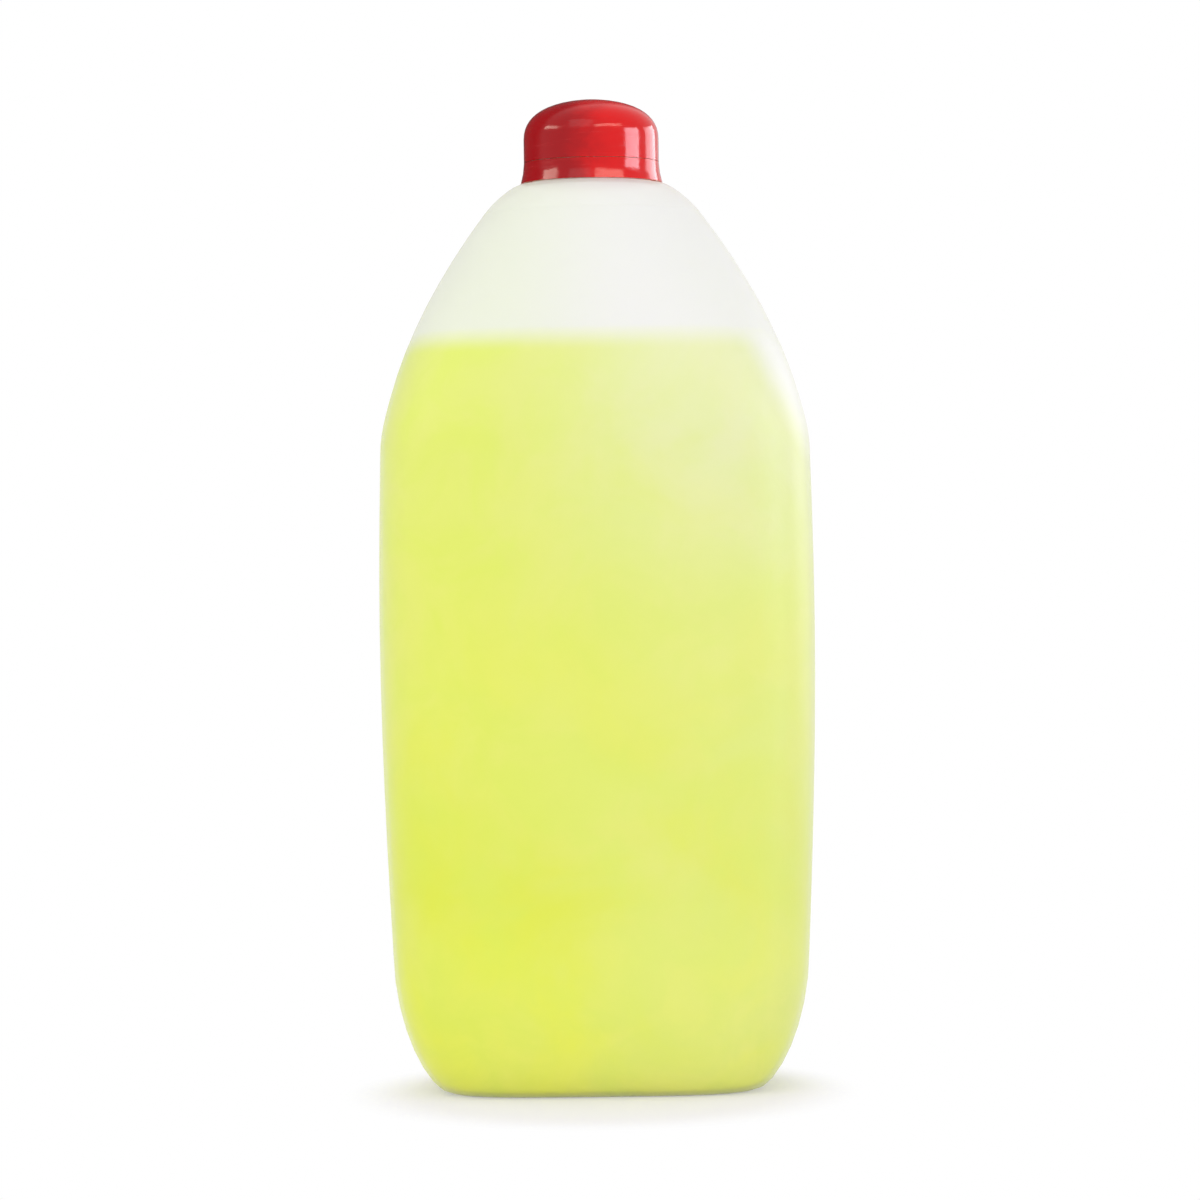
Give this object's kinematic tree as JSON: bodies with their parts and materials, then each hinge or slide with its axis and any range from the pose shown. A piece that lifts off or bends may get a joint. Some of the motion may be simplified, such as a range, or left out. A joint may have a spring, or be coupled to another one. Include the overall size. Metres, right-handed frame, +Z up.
{
  "type": "all-purpose cleaner bottle",
  "caption": "Tall see-through plastic bottle of yellow-green liquid cleaner, with a rounded rectangular body, sloping shoulders, a threaded neck and a glossy red screw cap over a tamper band.",
  "frame": {"origin": "centre of the base, on the plane that the bottle stands on", "axes": "+Z up along the neck, +X along the body's width, -Y out of the wide front"},
  "size_m": [0.1274, 0.11, 0.2908],
  "materials": {
    "milky_plastic": "translucent, lightly textured by the mould",
    "red_plastic": "smooth, high gloss",
    "white_foam": "fine foam, matt",
    "yellow_green_liquid": "clear liquid"
  },
  "bodies": {
    "bottle": {"bottle": "milky_plastic", "tamper_ring": "red_plastic", "cleaner_liquid": "yellow_green_liquid"},
    "liner": {"cap_liner": "white_foam"},
    "cap": {"cap": "red_plastic"}
  },
  "joints": [
    {"name": "cap_lift", "type": "slide", "parent": "bottle", "child": "liner", "axis": [0, 0, 1], "range_m": [0, 0.0126]},
    {"name": "cap_turn", "type": "hinge", "parent": "liner", "child": "cap", "pos_m": [0, 0, 0.275], "axis": [0, 0, 1], "range_deg": [0, 1080]}
  ],
  "couplings": [
    {"joint": "cap_lift", "follows": "cap_turn", "m_per_rad": 0.00066845}
  ]
}
